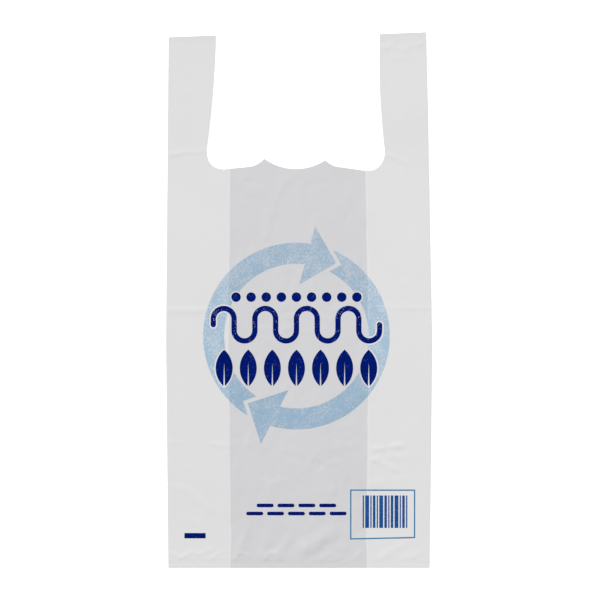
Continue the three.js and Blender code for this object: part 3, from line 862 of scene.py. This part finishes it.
def finish(tree, surface, specular, grain=GRAIN_HEIGHT):
    """Gives a surface the film's grain and its gloss."""
    node = tree.group(kept_group(film_grain), grain=grain)
    bump = tree.add("ShaderNodeBump", {"Height": node.outputs["Height"], "Distance": 1.0})
    tree.feed(surface["Normal"], bump.outputs["Normal"])
    tree.feed(surface["Roughness"], node.outputs["Roughness"])
    surface["Specular IOR Level"].default_value = specular


FILM_SPECULAR, PALE_SPECULAR, DARK_SPECULAR = 0.12, 0.08, 0.01
DARK_GRAIN = 0.00005
PALE_MOTTLE, PALE_TOP = 3.0, 0.72  # and how dense the ring's ink still is at its top


def film_material(name):
    """White film that looks greyer where less of it lies together."""
    material, tree, surface = new_material(name)
    tree.feed(surface["Base Color"], tone(tree))
    finish(tree, surface, FILM_SPECULAR)
    return material


def pale_ink_material(name):
    """Thin ink that filters what the film under it sends back."""
    material, tree, surface = new_material(name)
    wear = tree.group(kept_group(ink_wear), mottle=PALE_MOTTLE, pinholes=0.0)
    height = tree.axes(tree.place())["Y"]
    low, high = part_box("print_arrow_lower")[0].y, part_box("print_arrow_upper")[1].y
    fade = tree.range(height, low, high, 1.0, PALE_TOP)
    density = tree.math("MULTIPLY", fade, wear.outputs["Density"])
    filter_ = tree.mix(density, WHITE, tuple(settings().colours.pale_ink))
    tree.feed(surface["Base Color"], tree.mix(1.0, tone(tree), filter_, "MULTIPLY"))
    finish(tree, surface, PALE_SPECULAR)
    return material


def dark_ink_material(name, ink_colour, mottle, pinholes):
    """Dense ink, with pinholes where a broad stroke has not taken all over."""
    material, tree, surface = new_material(name)
    wear = tree.group(kept_group(ink_wear), mottle=mottle, pinholes=pinholes)
    whole = tuple(getattr(settings().colours, ink_colour))
    ink = tree.mix(1.0, whole, tree.grey(wear.outputs["Density"]), "MULTIPLY")
    tree.feed(surface["Base Color"], tree.mix(wear.outputs["Cover"], tone(tree), ink))
    finish(tree, surface, DARK_SPECULAR, DARK_GRAIN)
    return material


# Ink

# Materials by name and maker, and the dense inks also by colour, mottle and pinholes
PALE = ("pale_blue_ink", pale_ink_material)
DARK = ("dark_blue_ink", dark_ink_material, "dark_ink", 0.9, 0.15)
WORN = ("worn_blue_ink", dark_ink_material, "dark_ink", 0.9, 1.0)
STRIPE = ("stripe_ink", dark_ink_material, "stripe_ink", 1.2, 0.3)
FRAME = ("frame_ink", dark_ink_material, "frame_ink", 0.6, 0.0)

Ink = namedtuple("Ink", "nodes material slot", defaults=("ink_navy",))
INKS = {
    "arrows": Ink("print_arrow_", PALE, "ink_blue"),
    "dots": Ink("print_dot_", DARK),
    "wave": Ink("print_wave", WORN),
    "leaves": Ink("print_leaf_", DARK),
    "dashes": Ink("print_dash_", DARK),
    "stripes": Ink("print_stripe_", STRIPE),
    "panel_frame": Ink("print_panel_frame", FRAME),
    "register_mark": Ink("print_register_mark", DARK),
}
INK_LIFT, INK_THICKNESS, INK_PITCH = 0.00005, 0.00003, 0.002
FACE_UP = 0.5  # a face whose normal rises more than this looks up
WELD, CUT_WELD, WALL_WELD = 0.000001, 0.0000001, 0.000002  # points nearer than this are one
ON_GRID = 0.001  # of a pitch
RAY_START, RAY_LENGTH = 0.05, 0.1
NORMAL_STEP = 0.0004


def on_grid(edge):
    """Whether an edge runs along one of the lines that cut the print into squares."""
    for axis in (0, 1):
        steps = [vertex.co[axis] / INK_PITCH for vertex in edge.verts]
        if all(abs(step - round(steps[0])) < ON_GRID for step in steps):
            return True
    return False


def printed_outline(nodes):
    """The upper faces of printed nodes in one flat mesh, cut into squares that can follow the film."""
    shape = bmesh.new()
    for node in nodes:
        shape.from_mesh(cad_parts[node].data)
    bmesh.ops.remove_doubles(shape, verts=shape.verts, dist=WELD)
    lower = [face for face in shape.faces if face.normal.z < FACE_UP]
    bmesh.ops.delete(shape, geom=lower, context="FACES")
    for axis in (0, 1):
        places = [vertex.co[axis] for vertex in shape.verts]
        first, last = math.ceil(min(places) / INK_PITCH), math.floor(max(places) / INK_PITCH)
        normal = Vector((1, 0, 0) if axis == 0 else (0, 1, 0))
        for step in range(first, last + 1):
            whole = shape.verts[:] + shape.edges[:] + shape.faces[:]
            place = normal * (step * INK_PITCH)
            bmesh.ops.bisect_plane(shape, geom=whole, plane_co=place, plane_no=normal, dist=CUT_WELD)
    inner = [edge for edge in shape.edges if len(edge.link_faces) == 2 and not on_grid(edge)]
    bmesh.ops.dissolve_edges(shape, edges=inner, use_verts=False, use_face_split=False)
    mesh = bpy.data.meshes.new("printed")
    shape.to_mesh(mesh)
    shape.free()
    return mesh


def drape_ink(name):
    """Drape ink: lays a flat outline on the film and gives it its thickness."""
    group, tree, given, out = new_group(
        name,
        (("Geometry", "Geometry"), ("Film", "Object"), ("Lift", "Float"), ("Thickness", "Float"),
         ("Material", "Material")),
        (("Geometry", "Geometry"),),
        "GeometryNodeTree",
    )
    film = tree.add("GeometryNodeObjectInfo", {"Object": given["Film"]}, transform_space="RELATIVE")
    place = tree.add("GeometryNodeInputPosition").outputs[0]
    hit = tree.add("GeometryNodeRaycast", {
        "Target Geometry": film.outputs["Geometry"],
        "Source Position": tree.scaled(place, (1, 1, 0), (0, 0, RAY_START)),
        "Ray Direction": (0, 0, -1),
        "Ray Length": RAY_LENGTH,
    })
    draped = tree.add("GeometryNodeSetPosition", {
        "Geometry": given["Geometry"],
        "Position": hit.outputs["Hit Position"],
        "Offset": tree.add("ShaderNodeCombineXYZ", {"Z": given["Lift"]}).outputs[0],
    }).outputs[0]
    down = tree.add("ShaderNodeCombineXYZ", {"Z": -1.0}).outputs[0]
    walls = tree.add("GeometryNodeExtrudeMesh", {
        "Mesh": draped, "Offset": down, "Offset Scale": given["Thickness"], "Individual": False,
    })
    top = tree.add("GeometryNodeFlipFaces", {"Mesh": walls.outputs["Mesh"]})
    joined = tree.add("GeometryNodeJoinGeometry")
    for mesh in (top.outputs[0], draped):
        tree.tree.links.new(mesh, joined.inputs[0])
    closed = tree.add("GeometryNodeMergeByDistance", {"Geometry": joined.outputs[0], "Distance": WALL_WELD})
    real = tree.add("GeometryNodeRealizeInstances", {"Geometry": closed.outputs[0]})
    inked = tree.add("GeometryNodeSetMaterial", {"Geometry": real.outputs[0], "Material": given["Material"]})
    tree.feed(out["Geometry"], inked.outputs[0])
    return group


def set_inputs(modifier, **values):
    """Sets a Geometry Nodes modifier's inputs by their sockets' identifiers."""
    for item in modifier.node_group.interface.items_tree:
        if item.item_type == "SOCKET" and item.in_out == "INPUT" and item.name in values:
            modifier[item.identifier] = values[item.name]


def film_normals(points):
    """Which way the film faces at each point, from its heights to both sides of it."""
    x, y, step = points[:, 0], points[:, 1] - BOTTOM, NORMAL_STEP
    slope_x = (layer_height(FRONT, x + step, y) - layer_height(FRONT, x - step, y)) / (2 * step)
    slope_y = (layer_height(FRONT, x, y + step) - layer_height(FRONT, x, y - step)) / (2 * step)
    normals = np.stack([-slope_x, -slope_y, np.ones_like(x)], -1)
    return normals / np.linalg.norm(normals, axis=1)[:, None]


def make_ink(kind, film):
    """Prints one kind of ink on the film."""
    ink = INKS[kind]
    nodes = sorted(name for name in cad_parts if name.startswith(ink.nodes))
    material = kept_material(*ink.material)
    piece = new_object("ink_" + kind, printed_outline(nodes))
    piece.data.materials.append(material)
    modifier = piece.modifiers.new("Drape", "NODES")
    modifier.node_group = kept_group(drape_ink)
    set_inputs(modifier, Film=film, Lift=INK_LIFT, Thickness=INK_THICKNESS, Material=material)
    applied(piece)
    return piece, nodes


def smooth_as_film(piece):
    """Makes the print take the light as the film under it does, whatever its own faces are."""
    mesh = piece.data
    mesh.shade_smooth()
    points = np.empty(len(mesh.vertices) * 3)
    mesh.vertices.foreach_get("co", points)
    normals = film_normals(points.reshape(-1, 3))
    lower = {index for face in mesh.polygons if face.normal.z < -FACE_UP for index in face.vertices}
    normals[sorted(lower)] *= -1
    mesh.normals_split_custom_set_from_vertices(normals.tolist())


# Stage

LAMP_PLACE = (-0.85, 1.45, 1.1)  # the lamp shines from here at the bag's middle
FLOOR_WIDTH, FLOOR_DEPTH, FLOOR_ROUGHNESS = 6, -0.0002, 0.9
SENSOR = 36.0  # width of the camera's sensor, in millimetres


def make_lamp():
    """A broad lamp to the upper left of the bag."""
    lamp = new_object("lamp", bpy.data.lights.new("lamp", "SUN"))
    lamp.data.energy = settings().stage.lamp
    lamp.data.angle = settings().stage.lamp_softness
    # Seen flat along the film, the lamp's own glare would drown it; the gloss shows the room alone.
    lamp.visible_glossy = False
    lamp.location = LAMP_PLACE
    lamp.rotation_euler = (-Vector(LAMP_PLACE)).to_track_quat("-Z", "Y").to_euler()


def seen_directly(tree):
    """One for what the camera sees itself, in gloss or through glass, and nothing for other light."""
    path = tree.add("ShaderNodeLightPath").outputs
    seen = tree.math("MAXIMUM", path["Is Camera Ray"], path["Is Glossy Ray"])
    return tree.math("MAXIMUM", seen, path["Is Transmission Ray"])


def make_floor():
    bpy.ops.mesh.primitive_plane_add(size=FLOOR_WIDTH)
    floor = bpy.context.object
    floor.name = "floor"
    floor.data.transform(Matrix.Translation((0, 0, FLOOR_DEPTH)))
    material, tree, surface = new_material("pale_floor")
    surface["Base Color"].default_value = settings().colours.floor
    surface["Roughness"].default_value = FLOOR_ROUGHNESS
    surface["Emission Color"].default_value = WHITE
    glow = tree.math("MULTIPLY", seen_directly(tree), settings().stage.floor_glow)
    tree.feed(surface["Emission Strength"], glow)
    floor.data.materials.append(material)


def make_sky():
    world = bpy.data.worlds.new("studio")
    bpy.context.scene.world = world
    world.use_nodes = True
    tree = Tree(world.node_tree)
    sky = settings().stage.sky
    strength = tree.math("MULTIPLY_ADD", seen_directly(tree), 1 - sky, sky)
    background = world.node_tree.nodes["Background"].inputs
    background["Color"].default_value = WHITE
    tree.feed(background["Strength"], strength)


def make_camera():
    stage = settings().stage
    camera = new_object("camera", bpy.data.cameras.new("camera"))
    camera.data.lens = stage.lens
    camera.data.sensor_width = SENSOR
    height = stage.view_width * stage.lens / SENSOR
    camera.location = (stage.view_x, 0, (BAG_LOW.z + BAG_HIGH.z) / 2 + height)
    bpy.context.scene.camera = camera


# Operators and panel

class MakesPiece:
    """What every operator here shares."""

    bl_options = {"REGISTER", "UNDO"}

    @classmethod
    def poll(cls, context):
        return context.mode == "OBJECT"


class CARRIERBAG_OT_film(MakesPiece, Operator):
    """Make the bag's film, with its gussets, handles, seals, waves and creases"""

    bl_idname = "carrier_bag.film"
    bl_label = "Film"

    def execute(self, context):
        film = make_film()
        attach(film, BODY)
        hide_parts("bag")
        return {"FINISHED"}


def print_on_film(*kinds):
    """Makes some kinds of print and says what they stand for."""
    for kind in kinds:
        piece, nodes = make_ink(kind, bpy.data.objects["bag_film"])
        smooth_as_film(piece)
        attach(piece, BODY)
        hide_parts(*nodes)
    return {"FINISHED"}


class CARRIERBAG_OT_arrows(MakesPiece, Operator):
    """Print the ring of two pale arrows"""

    bl_idname = "carrier_bag.arrows"
    bl_label = "Arrows"

    def execute(self, context):
        return print_on_film("arrows")


class CARRIERBAG_OT_dots(MakesPiece, Operator):
    """Print the row of dots"""

    bl_idname = "carrier_bag.dots"
    bl_label = "Dots"

    def execute(self, context):
        return print_on_film("dots")


class CARRIERBAG_OT_wave(MakesPiece, Operator):
    """Print the wavy line"""

    bl_idname = "carrier_bag.wave"
    bl_label = "Wave"

    def execute(self, context):
        return print_on_film("wave")


class CARRIERBAG_OT_leaves(MakesPiece, Operator):
    """Print the row of leaves"""

    bl_idname = "carrier_bag.leaves"
    bl_label = "Leaves"

    def execute(self, context):
        return print_on_film("leaves")


class CARRIERBAG_OT_dashes(MakesPiece, Operator):
    """Print the two rows of dashes"""

    bl_idname = "carrier_bag.dashes"
    bl_label = "Dashes"

    def execute(self, context):
        return print_on_film("dashes")


class CARRIERBAG_OT_panel(MakesPiece, Operator):
    """Print the frame with its stripes"""

    bl_idname = "carrier_bag.panel"
    bl_label = "Striped panel"

    def execute(self, context):
        return print_on_film("panel_frame", "stripes")


class CARRIERBAG_OT_mark(MakesPiece, Operator):
    """Print the register mark"""

    bl_idname = "carrier_bag.mark"
    bl_label = "Register mark"

    def execute(self, context):
        return print_on_film("register_mark")


class CARRIERBAG_OT_declare(MakesPiece, Operator):
    """Say that the film is one folded sheet with its print on it"""

    bl_idname = "carrier_bag.declare"
    bl_label = "Declare the sheet"

    def execute(self, context):
        return {"FINISHED"}


class CARRIERBAG_OT_stage(MakesPiece, Operator):
    """Make the floor, the light and the camera"""

    bl_idname = "carrier_bag.stage"
    bl_label = "Stage"

    def execute(self, context):
        make_floor()
        make_sky()
        make_lamp()
        make_camera()
        context.scene.view_settings.view_transform = "Standard"
        return {"FINISHED"}


OPERATORS = (
    CARRIERBAG_OT_film, CARRIERBAG_OT_arrows, CARRIERBAG_OT_dots, CARRIERBAG_OT_wave, CARRIERBAG_OT_leaves,
    CARRIERBAG_OT_dashes, CARRIERBAG_OT_panel, CARRIERBAG_OT_mark, CARRIERBAG_OT_declare, CARRIERBAG_OT_stage,
)


class CARRIERBAG_PT_sidebar(Panel):
    """Lists what makes the bag, and its sizes and colours"""

    bl_label = "Carrier Bag"
    bl_idname = "CARRIERBAG_PT_sidebar"
    bl_space_type = "VIEW_3D"
    bl_region_type = "UI"
    bl_category = "Carrier Bag"

    def draw(self, context):
        for operator in OPERATORS:
            self.layout.operator(operator.bl_idname)
        for name, group in context.scene.carrier_bag.bl_rna.properties.items():
            if group.type == "POINTER" and name != "rna_type":
                box = self.layout.box()
                values = getattr(context.scene.carrier_bag, name)
                for key in values.__annotations__:
                    box.prop(values, key)


CLASSES = (BagOutline, FilmRelief, BagColours, StageSizes, BagSettings, *OPERATORS, CARRIERBAG_PT_sidebar)


def register():
    for item in CLASSES:
        bpy.utils.register_class(item)
    bpy.types.Scene.carrier_bag = PointerProperty(type=BagSettings)


def unregister():
    del bpy.types.Scene.carrier_bag
    for item in reversed(CLASSES):
        bpy.utils.unregister_class(item)


def main():
    register()
    for operator in OPERATORS:
        group, name = operator.bl_idname.split(".")
        if getattr(getattr(bpy.ops, group), name)() != {"FINISHED"}:
            raise RuntimeError(operator.bl_idname + " did not finish")


if __name__ == "__main__":
    main()
